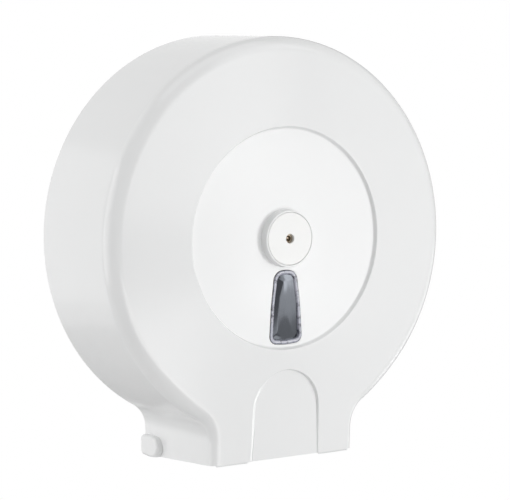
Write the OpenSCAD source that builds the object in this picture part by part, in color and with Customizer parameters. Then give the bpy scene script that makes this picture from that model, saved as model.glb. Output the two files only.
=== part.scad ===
// Lockable jumbo toilet roll dispenser: a drum-shaped cover hinged at its foot on a wall plate.
//
// Every piece is drawn on the bench, with the wall plate lying on its back: x to the right, y up
// the wall, z out from the wall. on_wall() stands the drawing up, so that the finished part has
// +Z up, +Y into the wall and its origin on the drum's axis at the wall.

/* [Cover] */
// Outer radius of the drum at its rear rim
drum_r = 165; // [155:1:180]
// Distance from the wall to the flat of the cover's front
case_depth = 110; // [108:1:125]
// Wall thickness of the mouldings
wall = 3; // [2.5:0.1:3.5]
// Gap between the cover's rear rim and the wall
rim_gap = 2.5; // [2:0.1:4]
// How much the cover's sides draw in from the rim to the front
draft = 2.5; // [1:0.1:4]
// How far the front falls back between the round recess and the edge
crown = 4.2; // [2:0.2:6]
// Radius of the round along the cover's front edge
edge_r = 12; // [8:1:15]
// Radius of the round recess in the front
ring_r = 90.6; // [80:0.2:100]
// Depth of the round recess
recess = 3.3; // [2:0.1:4.5]
// Width of the recess's sloped wall
recess_run = 1.5; // [1:0.1:3]

/* [Foot] */
// Width of the foot at the wall
foot_w = 144; // [136:1:156]
// Distance from the drum's axis down to the foot's front lower edge
foot_drop = 180; // [178:0.5:190]
// How much lower the foot's sides reach at the wall
foot_slope = 5.5; // [3:0.5:8]
// Radius of the hollow blend between the drum and the foot
blend_r = 22; // [16:1:30]
// Round at the foot's lower rear corner, which clears the wall as the cover opens
heel_r = 4; // [3:0.5:6]
// Width of the arch recess over the paper outlet
arch_w = 64; // [50:1:74]
// Distance from the drum's axis down to the top of the arch
arch_top = 107; // [104:1:115]
// Depth of the arch recess at its top
arch_depth = 2.2; // [1.6:0.1:2.6]
// Depth of the arch recess at the foot's lower edge
arch_foot_depth = 1; // [0.6:0.1:1.4]
// Width of the arch's sloped wall
arch_run = 2.2; // [1:0.1:3]
// Distance between two tear teeth
tooth_pitch = 2; // [1.6:0.1:3]
// Length of a tear tooth
tooth_l = 1.6; // [1:0.1:2.2]

/* [Hinge] */
// Distance of the hinge axis from the wall
hinge_out = 12; // [11.5:0.1:14]
// Height of the hinge axis above the foot's lower rear edge
hinge_rise = 9; // [8:0.5:11]
// Radius of the hinge pins
pin_r = 3; // [2.5:0.1:3.5]
// Radial running clearance of the hinge pins
pin_gap = 0.06; // [0.02:0.01:0.1]
// Length of the hinge knuckle, out from the cover's rim
knuckle_l = 27; // [25:1:32]
// Height of the hinge knuckle
knuckle_h = 18; // [17:0.5:21]
// How far the knuckle stands out from the foot's side
knuckle_t = 5.3; // [4.5:0.1:7]

/* [Wall plate] */
// Clearance between the wall plate's rim and the cover
plate_gap = 2.2; // [2:0.1:3]
// Height of the plate's rim and ribs above the wall
rib_h = 8; // [6:0.5:8.5]
// Thickness of the plate's ribs
rib_t = 2.4; // [2:0.1:3]
// Number of radial ribs
ribs = 12; // [8:2:16]
// Horizontal distance between the wall screws
screw_w = 170; // [120:5:180]
// Vertical distance between the wall screws
screw_h = 130; // [100:5:150]
// Radius of the wall screw holes
screw_hole_r = 2.75; // [2.25:0.25:3.5]

/* [Spindle and hub] */
// Outer radius of the post
post_r = 20; // [19:0.5:22]
// Wall thickness of the post
post_wall = 5; // [4.5:0.1:5.5]
// Distance from the wall to the post's tip
post_tip = 84; // [82:0.5:86]
// Radius of the post's foot flange
post_flange_r = 36; // [34:0.5:40]
// Radial running clearance between hub and post
hub_gap = 0.08; // [0.04:0.01:0.1]
// Outer radius of the hub, which the roll's core sits on
hub_r = 28; // [27:0.5:35]
// Length of the hub's core seat
hub_l = 64; // [60:1:66]
// Radius of the hub's rear flange
hub_flange_r = 50; // [45:1:60]

/* [Lock] */
// Outer radius of the lock boss at its foot
boss_r = 23.4; // [23.2:0.1:26]
// How far the boss stands out past the flat of the front
boss_out = 3.7; // [2.5:0.1:5]
// Radius of the lock cap
cap_r = 21.3; // [19:0.1:21.8]
// Thickness of the lock cap
cap_t = 2.6; // [2:0.1:3.2]
// Radius of the key hole in the cap
key_hole_r = 3.8; // [3:0.1:5]
// Outer radius of the lock housing
housing_r = 9.5; // [9:0.1:11]
// Radius of the key barrel
barrel_r = 5.5; // [5:0.1:6.5]
// Radial running clearance of the barrel
barrel_gap = 0.06; // [0.02:0.01:0.1]
// Length of the locking bar
bar_l = 23; // [20:0.5:24]
// Width of the locking bar
bar_w = 7; // [6.6:0.1:7.6]
// Thickness of the locking bar
bar_t = 2.5; // [2:0.1:3]
// Clearance between the locking bar and the keeper plate
bar_gap = 0.5; // [0.3:0.1:0.8]

/* [Window] */
// Distance from the drum's axis down to the window's top
window_top = 26; // [25.8:0.1:30]
// Height of the window
window_h = 60.4; // [54:0.2:60.8]
// Width of the window at its top
window_top_w = 22.5; // [20:0.5:26]
// Width of the window at its foot
window_foot_w = 33; // [30:0.5:36]
// How far the lens stands out of the round recess
lens_out = 0.8; // [0.4:0.1:1.2]
// Width of the raised rim round the lens
lens_rim = 3.4; // [2.8:0.1:4]
// Depth of the lens's pane below its rim
lens_pocket = 2.4; // [1.6:0.1:2.8]

/* [Hidden] */
$fn = 96;
fine_fn = 180;
abs_white = "white";
steel = "silver";
brass = "goldenrod";
smoke = "slategray";

// Small sizes that several pieces share
seat_gap = 0.3;
cut = 1;
far = 400;

// Levels, as distances out from the wall
recess_z = case_depth - recess;
inner_z = recess_z - wall;
edge_z = case_depth - crown;
boss_z = case_depth + boss_out;

// Cover: the front's crown is a cone that passes through the round recess's rim
side_r = drum_r - draft;
crown_slope = crown / (side_r - ring_r);
crown_tilt = atan(crown_slope);
crown_skin = 0.2;
rim_draft = draft * rim_gap / edge_z;
arc_steps = 10;

// Foot, and the hollow blends that join it to the drum
foot_half = foot_w / 2;
heel_y = -(foot_drop + foot_slope);
foot_front_z = case_depth - crown_slope * (foot_drop - ring_r);
blend_x = foot_half + blend_r;
blend_y = -sqrt(pow(drum_r + blend_r, 2) - blend_x * blend_x);
blend_angle = atan2(-blend_y, blend_x);
crown_reach = 100;
arch_half = arch_w / 2;
arch_y = -(arch_top + arch_half);
arch_z = case_depth - crown_slope * (arch_top + arch_half - ring_r);
arch_tilt = atan(crown_slope - (arch_depth - arch_foot_depth) / (foot_drop - arch_top));

// Hinge
hinge_y = heel_y + hinge_rise;
knuckle_x = foot_half + knuckle_t;
knuckle_skin = 2;
knuckle_soft = 2.6;
ear_t = 6.6;
ear_r = 8;
ear_x = foot_half - wall - 2 * seat_gap - ear_t;
pin_head_r = pin_r + 1.6;
pin_head_t = 2.2;
pin_seat_gap = 0.02;
pin_end_gap = 0.5;

// Wall plate
plate_r = drum_r - wall - plate_gap;
plate_foot_half = ear_x + 0.5;
plate_bottom = heel_y + 3;
screw_pad_r = 9;
screw_pad_z = wall + 1.5;

// Spindle stack
core_z = wall + 3;
flange_z = core_z + 3;
washer_t = 1;
washer_r = 25;
hub_z = flange_z + washer_t + seat_gap;
hub_flange_t = 2;
hub_tip_z = hub_z + hub_flange_t + hub_l;
hub_wall = 2.4;
hub_ribs = 6;
post_bore_r = post_r - post_wall;
flange_screw_r = (post_r + post_flange_r) / 2 + 1.5;
flange_screws = 4;
flange_screw_shank = 1.9;
flange_screw_head = 3.8;
flange_screw_l = flange_z - 1.2;
clip_t = 1.2;
clip_z = hub_tip_z + seat_gap;
clip_depth = 1.3;
clip_w = 4.4;
keeper_t = 2;
keeper_z = post_tip + keeper_t;
keeper_r = post_r - 0.4;
keeper_screw_r = post_r - post_wall / 2;
keeper_screw_shank = 1.1;
keeper_screw_l = 8;
screw_gap = 0.05;

// Lock stack, from the cap inwards
cap_z = boss_z - cap_t;
cap_play = 0.25;
peg_r = 1.4;
peg_l = 5;
peg_ring_r = 18;
housing_flange_r = 14;
housing_flange_t = 2;
housing_z = 90;
nut_t = 6;
nut_af = 27;
nut_z = inner_z - nut_t;
lip_r = barrel_r + 1.2;
lip_t = 1;
barrel_face_z = cap_z - 0.4;
stem_r = 3.4;
stem_z = housing_z - 2;
bar_front_z = post_tip - bar_gap;
bar_z = bar_front_z - bar_t;
tang_w = 4.7;
tang_gap = 0.05;
bar_washer_r = stem_r + 0.3;
bar_washer_t = 0.8;
bar_washer_z = bar_z - bar_washer_t;
bar_screw_shank = 1.25;
slot_gap = 0.8;

// The cover swings on its hinge, so the locking bar drops as it leaves the keeper's slot
bar_drop = (bar_z - hinge_out) * (keeper_z - bar_z) / -hinge_y;

// Window
lens_play = 0.15;
lens_flange = 2;
lens_flange_t = 1.4;
lens_bevel = 0.5;
lens_z = recess_z + lens_out;
frame_w = 6.8;
frame_lip = 1.5;
frame_t = 1.6;
frame_z = inner_z - lens_flange_t - frame_t;
frame_screw_out = 4.6;
frame_screw_rise = window_h * 0.18;
frame_screw_shank = 0.95;
frame_screw_l = 4.2;
frame_pillar_r = 2;
window_bulge = 1;
window_top_r = 7;
window_foot_r = 5;
window_hip = window_h * 0.25;

// A unit vector
function unit(v) = v / norm(v);

// An arc of radius r, in n steps, that rounds the corner q between a and b
function corner_arc(a, q, b, r, n) =
    let (u = unit(a - q), v = unit(b - q), half = acos(u * v) / 2,
         c = q + unit(u + v) * r / sin(half),
         s = q + u * r / tan(half) - c, e = q + v * r / tan(half) - c,
         from = atan2(s.y, s.x), turn = atan2(e.y, e.x) - from,
         sweep = turn > 180 ? turn - 360 : turn < -180 ? turn + 360 : turn)
    [for (i = [0:n]) c + r * [cos(from + sweep * i / n), sin(from + sweep * i / n)]];

// The outline p with its corners rounded to the radii in r, where 0 leaves a corner sharp
function rounded(p, r, n = 8) =
    let (m = len(p))
    [for (i = [0:m - 1]) each (r[i] <= 0 ? [p[i]]
        : corner_arc(p[(i + m - 1) % m], p[i], p[(i + 1) % m], r[i], n))];

// Distance of the crowned front from the wall, at radius r from the drum's axis
function crown_z(r) = case_depth - crown_slope * (r - ring_r);

// Half the window's width, at a distance down from its top
function window_half(down) =
    lookup(down, [[window_bulge, window_top_w / 2],
                  [window_h - window_hip, window_foot_w / 2 - window_bulge],
                  [window_h - window_bulge, window_foot_w / 2]]);

// Stands the bench drawing up against the wall
module on_wall() {
    rotate([90, 0, 0]) children();
}

module both_sides() {
    children();
    mirror([1, 0, 0]) children();
}

module around(n, from = 0) {
    for (i = [0:n - 1])
        rotate([0, 0, from + 360 * i / n]) children();
}

// A round bar or hole of radius r between two levels
module round_bar(r, z0, z1) {
    translate([0, 0, z0]) cylinder(r = r, h = z1 - z0);
}

// A tube between two levels
module tube(r_out, r_in, z0, z1) {
    difference() {
        round_bar(r_out, z0, z1);
        round_bar(r_in, z0 - cut, z1 + cut);
    }
}

// A round bar along x, on the hinge axis
module hinge_bar(r, x0, x1) {
    translate([x0, hinge_y, hinge_out]) rotate([0, 90, 0]) cylinder(r = r, h = x1 - x0);
}

// A screw that points towards the wall, its head seated on level 0, with a cross recess
module screw(shank_r, length, head_r, head_h) {
    round_bar(shank_r, -length, head_h / 4);
    difference() {
        cylinder(r1 = head_r, r2 = head_r * 0.8, h = head_h);
        cross_recess(head_r, head_h / 2);
    }
}

// Cross recess for a screwdriver, from level z up
module cross_recess(head_r, z) {
    slot_w = head_r * 0.3;
    slot_l = head_r * 1.2;
    for (a = [0, 90])
        rotate([0, 0, a])
            translate([-slot_l / 2, -slot_w / 2, z]) cube([slot_l, slot_w, far]);
}

// ---- Wall plate ----

// Outline of the wall plate, inset by t
module plate_outline(t) {
    circle(r = plate_r - t, $fn = fine_fn);
    translate([-plate_foot_half + t, plate_bottom + t])
        square([2 * (plate_foot_half - t), -plate_bottom - t]);
}

module screw_places() {
    for (x = [-1, 1], y = [-1, 1])
        translate([x * screw_w / 2, y * screw_h / 2, 0]) children();
}

module hinge_ear() {
    hinge_bar(ear_r, ear_x, ear_x + ear_t);
    translate([ear_x, hinge_y - ear_r, 0]) cube([ear_t, 2 * ear_r, hinge_out]);
}

module back_plate() {
    color(abs_white) on_wall()
        difference() {
            union() {
                linear_extrude(wall) plate_outline(0);
                linear_extrude(rib_h)
                    difference() {
                        plate_outline(0);
                        plate_outline(rib_t);
                    }
                round_bar(post_flange_r + 1, 0, core_z);
                around(ribs, 180 / ribs)
                    translate([post_flange_r, -rib_t / 2, wall / 2])
                        cube([plate_r - post_flange_r - rib_t / 2, rib_t, rib_h - wall / 2]);
                screw_places() round_bar(screw_pad_r, wall / 2, screw_pad_z);
                both_sides() hinge_ear();
            }
            round_bar(post_flange_r + 1 + seat_gap, core_z, far);
            screw_places() {
                round_bar(screw_hole_r, -cut, far);
                round_bar(screw_pad_r + seat_gap, screw_pad_z, far);
            }
            around(flange_screws, 180 / flange_screws)
                translate([flange_screw_r, 0, 0])
                    round_bar(flange_screw_shank + screw_gap, flange_z - flange_screw_l, far);
            both_sides() {
                hinge_bar(pin_r + pin_seat_gap, ear_x - cut, ear_x + ear_t + cut);
                hinge_bar(pin_head_r + seat_gap, ear_x - pin_head_t - seat_gap, ear_x);
            }
        }
}

// ---- Spindle and hub ----

module spindle_post() {
    groove_r = post_r - clip_depth;
    toe = 1;
    color(abs_white) on_wall()
        difference() {
            rotate_extrude()
                polygon(rounded([[post_bore_r, core_z], [post_flange_r, core_z],
                                 [post_flange_r, flange_z], [post_r, flange_z],
                                 [post_r, clip_z - screw_gap], [groove_r, clip_z - screw_gap],
                                 [groove_r, clip_z + clip_t + screw_gap],
                                 [post_r, clip_z + clip_t + screw_gap],
                                 [post_r, post_tip], [post_bore_r, post_tip]],
                                [0, 0, toe, 0, 0, 0, 0, 0, toe, 0], 4));
            around(flange_screws, 180 / flange_screws)
                translate([flange_screw_r, 0, flange_z]) {
                    round_bar(flange_screw_shank + screw_gap, -far, cut);
                    sunk_head(screw_gap);
                }
            keeper_screw_places()
                round_bar(keeper_screw_shank + screw_gap, keeper_z - keeper_screw_l - cut, far);
        }
}

// Countersunk head of a flange screw, its face on level 0, or its seat with a gap g
module sunk_head(g) {
    depth = flange_screw_head - flange_screw_shank;
    translate([0, 0, -depth])
        cylinder(r1 = flange_screw_shank + g, r2 = flange_screw_head + g, h = depth + g / 10);
}

module spindle_screws() {
    color(steel) on_wall()
        around(flange_screws, 180 / flange_screws)
            translate([flange_screw_r, 0, flange_z])
                difference() {
                    union() {
                        round_bar(flange_screw_shank, -flange_screw_l, -1);
                        sunk_head(0);
                    }
                    cross_recess(flange_screw_head, -1);
                }
}

module keeper_screw_places() {
    for (x = [-1, 1])
        translate([x * keeper_screw_r, 0, 0]) children();
}

module keeper_plate() {
    slot_half = bar_w / 2 + slot_gap;
    slot_top = bar_l / 2 + slot_gap;
    slot_foot = bar_l / 2 + bar_drop + slot_gap;
    color(steel) on_wall()
        difference() {
            round_bar(keeper_r, post_tip, keeper_z);
            translate([-slot_half, -slot_foot, post_tip - cut])
                cube([2 * slot_half, slot_top + slot_foot, keeper_t + 2 * cut]);
            keeper_screw_places()
                round_bar(keeper_screw_shank + screw_gap, 0, far);
        }
}

module keeper_screws() {
    color(steel) on_wall()
        keeper_screw_places()
            translate([0, 0, keeper_z])
                screw(keeper_screw_shank, keeper_screw_l, 2, 1.2);
}

module hub() {
    bore_r = post_r + hub_gap;
    sleeve_r = bore_r + hub_wall;
    seat_z = hub_z + hub_flange_t;
    lead = 1.5;
    rim_h = 2;
    hole_r = 5;
    hole_ring_r = (hub_r + hub_flange_r) / 2;
    color("whitesmoke") on_wall()
        difference() {
            union() {
                tube(sleeve_r, bore_r, hub_z, hub_tip_z);
                rotate_extrude()
                    polygon([[hub_r - hub_wall, hub_z], [hub_flange_r, hub_z],
                             [hub_flange_r, seat_z + rim_h],
                             [hub_flange_r - hub_wall, seat_z + rim_h],
                             [hub_flange_r - hub_wall, seat_z], [hub_r, seat_z],
                             [hub_r, hub_tip_z - lead], [hub_r - lead, hub_tip_z],
                             [hub_r - hub_wall, hub_tip_z]]);
                tube(hub_r - hub_wall / 2, sleeve_r - hub_wall / 2, hub_z, seat_z);
                around(hub_ribs)
                    translate([sleeve_r - hub_wall / 2, -hub_wall / 2, hub_z])
                        cube([hub_r - sleeve_r, hub_wall, hub_l]);
            }
            around(hub_ribs, 180 / hub_ribs)
                translate([hole_ring_r, 0, 0]) round_bar(hole_r, hub_z - cut, seat_z + cut);
        }
}

module hub_washer() {
    color(steel) on_wall()
        tube(washer_r, post_r + seat_gap, flange_z, flange_z + washer_t);
}

// Open retaining ring with two eyes at its gap
module hub_clip() {
    inner_r = post_r - clip_depth + 2 * screw_gap;
    eye_r = 2.2;
    eye_angle = 26;
    eye_ring_r = inner_r + clip_w - eye_r;
    color(steel) on_wall()
        difference() {
            union() {
                tube(inner_r + clip_w - 1, inner_r, clip_z, clip_z + clip_t);
                for (a = [-eye_angle, eye_angle])
                    rotate([0, 0, a])
                        translate([0, -eye_ring_r, 0]) round_bar(eye_r, clip_z, clip_z + clip_t);
            }
            round_bar(inner_r, clip_z - cut, clip_z + clip_t + cut);
            for (a = [-eye_angle, eye_angle])
                rotate([0, 0, a])
                    translate([0, -eye_ring_r, 0]) round_bar(1, clip_z - cut, clip_z + clip_t + cut);
            linear_extrude(far)
                polygon([[0, 0], [-far * tan(eye_angle - 6), -far], [far * tan(eye_angle - 6), -far]]);
        }
}

// ---- Hinge pins ----

module hinge_pin() {
    hinge_bar(pin_r, ear_x - pin_head_t, knuckle_x - knuckle_skin - pin_end_gap);
    hinge_bar(pin_head_r, ear_x - pin_head_t, ear_x);
}

module hinge_pin_right() {
    color(steel) on_wall() hinge_pin();
}

module hinge_pin_left() {
    color(steel) on_wall() mirror([1, 0, 0]) hinge_pin();
}

// ---- Cover shell ----

// Half section of the drum's side and front edge, inset by t; its front lies just over the crown
module drum_section(t) {
    top = edge_z - t + crown_skin;
    polygon(rounded([[0, 0], [drum_r - t + rim_draft, 0], [side_r - t, top],
                     [0, top + crown_slope * side_r]],
                    [0, 0, edge_r - t, 0], arc_steps));
}

// Section of the hollow blend, measured from the blend's own axis, inset by t
module blend_section(t) {
    reach = blend_r + 3 * edge_r;
    top = edge_z - t + crown_skin;
    polygon(rounded([[blend_r + t - rim_draft, 0], [reach, 0], [reach, top],
                     [blend_r + t + draft, top]],
                    [0, 0, 0, edge_r - t], arc_steps));
}

module blends(t) {
    overlap = 2;
    both_sides()
        translate([blend_x, blend_y, 0])
            rotate([0, 0, 180 - blend_angle - overlap])
                rotate_extrude(angle = blend_angle + overlap)
                    blend_section(t);
}

// Plan of the foot, inset by t: x across, then the distance from the wall
module foot_plan(t) {
    rear = foot_half - t + rim_draft;
    front = foot_half - t - draft;
    top = edge_z - t + crown_skin;
    polygon(rounded([[-rear, 0], [rear, 0], [front, top], [-front, top]],
                    [0, 0, edge_r - t, edge_r - t], arc_steps));
}

// Foot, tilted so that its front follows the crown
module foot_block(t) {
    rise = edge_r;
    drop = 4 * edge_r;
    translate([0, blend_y, edge_z])
        rotate([crown_tilt, 0, 0])
            translate([0, rise, -edge_z])
                rotate([90, 0, 0])
                    linear_extrude(rise + drop) foot_plan(t);
}

// All that lies behind the crowned front, inset by t
module crown_limit(t) {
    reach = drum_r + crown_reach;
    rotate_extrude($fn = fine_fn)
        polygon([[0, -cut], [reach, -cut], [reach, crown_z(reach) - t], [0, crown_z(0) - t]]);
}

module cover_form(t) {
    intersection() {
        union() {
            rotate_extrude($fn = fine_fn) drum_section(t);
            blends(t);
            foot_block(t);
        }
        crown_limit(t);
    }
}

// What lies over the round recess's floor and sloped wall, moved in by t; its wall stays about
// as thick as the floor
module ring_cut(t) {
    wall_share = 0.8;
    r = ring_r + wall_share * t;
    over_z = crown_z(0) + cut;
    rotate_extrude($fn = fine_fn)
        polygon([[0, recess_z - t], [r - recess_run, recess_z - t],
                 [r + recess_run, case_depth + recess - t], [r + recess_run, over_z],
                 [0, over_z]]);
}

// Places a drawing on the arch's own plane, with its origin at the arch's centre
module on_arch() {
    translate([0, arch_y, arch_z]) rotate([arch_tilt, 0, 0]) children();
}

// What lies over the arch recess: round at the top, straight below, with a sloped wall
module arch_cut() {
    floor_half = arch_half - arch_run;
    floor_z = -(arch_depth + arch_foot_depth) / 2;
    over = 2 * arch_depth;
    top_half = arch_half + arch_run * over / arch_depth;
    on_arch() {
        translate([0, 0, floor_z])
            cylinder(r1 = floor_half, r2 = top_half, h = over - floor_z);
        rotate([90, 0, 0])
            linear_extrude(2 * arch_w)
                polygon([[-floor_half, floor_z], [floor_half, floor_z],
                         [top_half, over], [-top_half, over]]);
    }
}

// Thickens the front behind the arch recess, so that its wall stays whole
module arch_backing() {
    half = arch_half + wall / 2;
    back_z = -arch_depth - wall;
    on_arch() {
        round_bar(half, back_z, wall);
        translate([-half, -2 * arch_w, back_z]) cube([2 * half, 2 * arch_w, 2 * wall]);
    }
}

// Tear teeth along the foot's front lower edge, on the right of the arch
module teeth() {
    x0 = arch_half + arch_run;
    n = floor((foot_half - draft - edge_r * 0.7 - x0) / tooth_pitch);
    root = 2;
    thickness = wall * 0.5;
    translate([x0, -foot_drop, foot_front_z - wall])
        rotate([crown_tilt, 0, 0])
            linear_extrude(thickness)
                polygon([[0, root],
                         for (i = [0:n - 1]) each [[i * tooth_pitch, 0],
                                                   [(i + 0.5) * tooth_pitch, -tooth_l]],
                         [n * tooth_pitch, 0], [n * tooth_pitch, root]]);
}

// Side view of the knuckle as four discs: distance from the wall, height and radius
function knuckle_discs() =
    let (nose_r = knuckle_h / 2, chin_r = knuckle_h * 0.3, z0 = rim_gap,
         z1 = rim_gap + knuckle_l, y0 = heel_y + 0.6, y1 = heel_y + knuckle_h)
    [[z0 + heel_r, y0 + heel_r, heel_r], [z0 + heel_r, y1 - heel_r, heel_r],
     [z1 - nose_r, y1 - nose_r, nose_r],
     [z1 - chin_r - 1, y0 + chin_r + 1, chin_r]];

// Closed hood, soft at its outer edge, over the end of the right hinge pin
module knuckle() {
    film = 0.01;
    root_x = foot_half - wall / 2;
    steps = 3;
    hull()
        for (d = knuckle_discs(), i = [0:steps]) {
            a = 90 * i / steps;
            inset = knuckle_soft * (1 - cos(a));
            translate([i == 0 ? root_x : knuckle_x - knuckle_soft * (1 - sin(a)) - film, d[1], d[0]])
                rotate([0, 90, 0])
                    cylinder(r = d[2] - inset, h = film, $fn = 40);
        }
}

// Boss that carries the lock, rounded at its face
module lock_boss() {
    lead = 0.4;
    face_round = 0.6;
    rotate_extrude()
        polygon(rounded([[0, inner_z], [boss_r, inner_z], [boss_r - lead, boss_z], [0, boss_z]],
                        [0, 0, face_round, 0]));
}

// What the cover keeps: everything before its rim and above the foot's sloping lower edge
module side_trim() {
    slope = foot_slope / (foot_front_z - rim_gap);
    translate([-far / 2, 0, 0])
        rotate([90, 0, 90])
            linear_extrude(far)
                polygon(rounded([[far / 2, rim_gap], [heel_y, rim_gap],
                                 [heel_y + slope * (far - rim_gap), far], [far / 2, far]],
                                [0, heel_r, 0, 0]));
}

// Outline of the window, grown by g: a slim top, a wide foot and soft corners
module window_outline(g) {
    top = window_top_w / 2 + g;
    foot = window_foot_w / 2 + g;
    y0 = -window_top + g;
    y1 = -window_top - window_h - g;
    shoulder = y0 - window_bulge;
    hip = y1 + window_hip;
    toe = y1 + window_bulge;
    top_r = window_top_r + g;
    foot_r = window_foot_r + g;
    polygon(rounded([[-top, shoulder], [-foot + window_bulge, hip], [-foot, toe],
                     [0, y1], [foot, toe], [foot - window_bulge, hip],
                     [top, shoulder], [0, y0]],
                    [top_r, 0, foot_r, 0, foot_r, 0, top_r, 0], 6));
}

module frame_screw_places() {
    for (side = [-1, 1], down = [frame_screw_rise, window_h - frame_screw_rise])
        translate([side * (window_half(down) + frame_screw_out), -window_top - down, 0])
            children();
}

module cap_peg_places() {
    around(3, 90) translate([peg_ring_r, 0, 0]) children();
}

module cover_shell() {
    color(abs_white) on_wall()
        difference() {
            union() {
                intersection() {
                    union() {
                        difference() {
                            cover_form(0);
                            ring_cut(0);
                            arch_cut();
                            difference() {
                                cover_form(wall);
                                ring_cut(wall);
                                arch_backing();
                            }
                        }
                        both_sides() knuckle();
                    }
                    side_trim();
                }
                lock_boss();
                both_sides() teeth();
                frame_screw_places() round_bar(frame_pillar_r, frame_z + frame_t, inner_z + wall / 2);
            }
            round_bar(cap_r + cap_play, cap_z, far);
            round_bar(housing_flange_r + cap_play, cap_z - housing_flange_t, far);
            round_bar(housing_r + screw_gap, 0, far);
            cap_peg_places() round_bar(peg_r + screw_gap, cap_z - peg_l - screw_gap, far);
            translate([0, 0, inner_z - cut]) linear_extrude(far) window_outline(lens_play);
            frame_screw_places()
                round_bar(frame_screw_shank + screw_gap, 0, frame_z + frame_screw_l + screw_gap);
            both_sides() hinge_bar(pin_r + pin_gap, 0, knuckle_x - knuckle_skin);
        }
}

// ---- Window ----

// Lens with a flange behind the cover, a raised rim and a sunk pane
module window_lens() {
    film = 0.01;
    color(smoke, 0.5) on_wall()
        difference() {
            union() {
                translate([0, 0, inner_z - lens_flange_t])
                    linear_extrude(lens_flange_t) window_outline(lens_flange);
                translate([0, 0, inner_z - film])
                    linear_extrude(lens_z - lens_bevel - inner_z) window_outline(0);
                hull() {
                    translate([0, 0, lens_z - lens_bevel - 2 * film])
                        linear_extrude(film) window_outline(0);
                    translate([0, 0, lens_z - film])
                        linear_extrude(film) window_outline(-lens_bevel);
                }
            }
            translate([0, 0, lens_z - lens_pocket])
                linear_extrude(far) window_outline(-lens_rim);
        }
}

module window_retainer() {
    color("dimgray") on_wall()
        difference() {
            translate([0, 0, frame_z]) linear_extrude(frame_t) window_outline(frame_w);
            translate([0, 0, frame_z - cut])
                linear_extrude(frame_t + 2 * cut) window_outline(-frame_lip);
            frame_screw_places() round_bar(frame_screw_shank + screw_gap, 0, far);
        }
}

module window_screws() {
    color(steel) on_wall()
        frame_screw_places()
            translate([0, 0, frame_z])
                rotate([180, 0, 0])
                    screw(frame_screw_shank, frame_screw_l, 1.9, 1.2);
}

// ---- Lock ----

module lock_cap() {
    chamfer = 0.4;
    color(abs_white) on_wall() {
        rotate_extrude()
            polygon([[key_hole_r, cap_z], [cap_r, cap_z], [cap_r, boss_z - chamfer],
                     [cap_r - chamfer, boss_z], [key_hole_r + chamfer, boss_z],
                     [key_hole_r, boss_z - chamfer]]);
        cap_peg_places() round_bar(peg_r, cap_z - peg_l, cap_z + chamfer);
    }
}

module lock_housing() {
    lip_z = barrel_face_z - lip_t - 2 * barrel_gap;
    color("gainsboro") on_wall()
        difference() {
            union() {
                round_bar(housing_r, housing_z, cap_z);
                round_bar(housing_flange_r, cap_z - housing_flange_t, cap_z);
            }
            round_bar(barrel_r + barrel_gap, 0, far);
            round_bar(lip_r + barrel_gap, lip_z, far);
        }
}

module lock_nut() {
    chamfer = 1;
    across = nut_af / sqrt(3);
    color("gainsboro") on_wall()
        difference() {
            intersection() {
                translate([0, 0, nut_z]) cylinder(r = across, h = nut_t, $fn = 6);
                translate([0, 0, nut_z])
                    cylinder(r1 = nut_af / 2 + chamfer / 2, r2 = nut_af / 2 + nut_t, h = nut_t);
            }
            round_bar(housing_r + screw_gap, 0, far);
        }
}

// Key barrel: a lip at its face, a stem behind it and a square tang for the bar
module lock_barrel() {
    key_r = 2.5;
    key_depth = 6;
    key_pin_r = 0.9;
    key_slot_w = 1.4;
    key_slot_l = 3.6;
    color(brass) on_wall()
        difference() {
            union() {
                round_bar(lip_r, barrel_face_z - lip_t, barrel_face_z);
                round_bar(barrel_r, stem_z, barrel_face_z - lip_t / 2);
                round_bar(stem_r, bar_front_z, stem_z + cut);
                translate([-tang_w / 2, -tang_w / 2, bar_z])
                    cube([tang_w, tang_w, bar_t + cut]);
            }
            difference() {
                round_bar(key_r, barrel_face_z - key_depth, far);
                round_bar(key_pin_r, 0, barrel_face_z - 1);
            }
            translate([-key_slot_w / 2, -key_slot_l, barrel_face_z - key_depth / 2])
                cube([key_slot_w, key_slot_l, key_depth]);
            round_bar(bar_screw_shank + screw_gap, 0, stem_z);
        }
}

module lock_bar() {
    hole = tang_w + 2 * tang_gap;
    swing_r = bar_l / 2;
    color(steel) on_wall()
        difference() {
            intersection() {
                translate([-bar_w / 2, -bar_l / 2, bar_z]) cube([bar_w, bar_l, bar_t]);
                round_bar(swing_r, 0, far);
            }
            translate([-hole / 2, -hole / 2, 0]) cube([hole, hole, far]);
        }
}

module bar_washer() {
    color(steel) on_wall()
        tube(bar_washer_r, bar_screw_shank + screw_gap, bar_washer_z, bar_z);
}

module bar_screw() {
    head_h = 1.8;
    length = bar_t + 4;
    color(steel) on_wall()
        translate([0, 0, bar_washer_z])
            rotate([180, 0, 0]) screw(bar_screw_shank, length, stem_r - 0.2, head_h);
}

back_plate();
spindle_post();
spindle_screws();
keeper_plate();
keeper_screws();
hub();
hub_washer();
hub_clip();
hinge_pin_left();
hinge_pin_right();
cover_shell();
window_lens();
window_retainer();
window_screws();
lock_cap();
lock_housing();
lock_nut();
lock_barrel();
lock_bar();
bar_washer();
bar_screw();
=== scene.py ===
# %% [markdown]
# # A jumbo toilet roll dispenser
# The object is a round, wall-hung case for one large roll of toilet paper. Its cover is one glossy
# white moulding, hinged at the foot, with a key lock and a smoked sight window in the middle of
# its front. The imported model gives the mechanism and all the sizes. This script models again the
# parts whose surfaces show, and gives every other part its finish.

# %% The frame
import math

import bmesh
import bpy
from mathutils import Matrix, Vector


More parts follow.
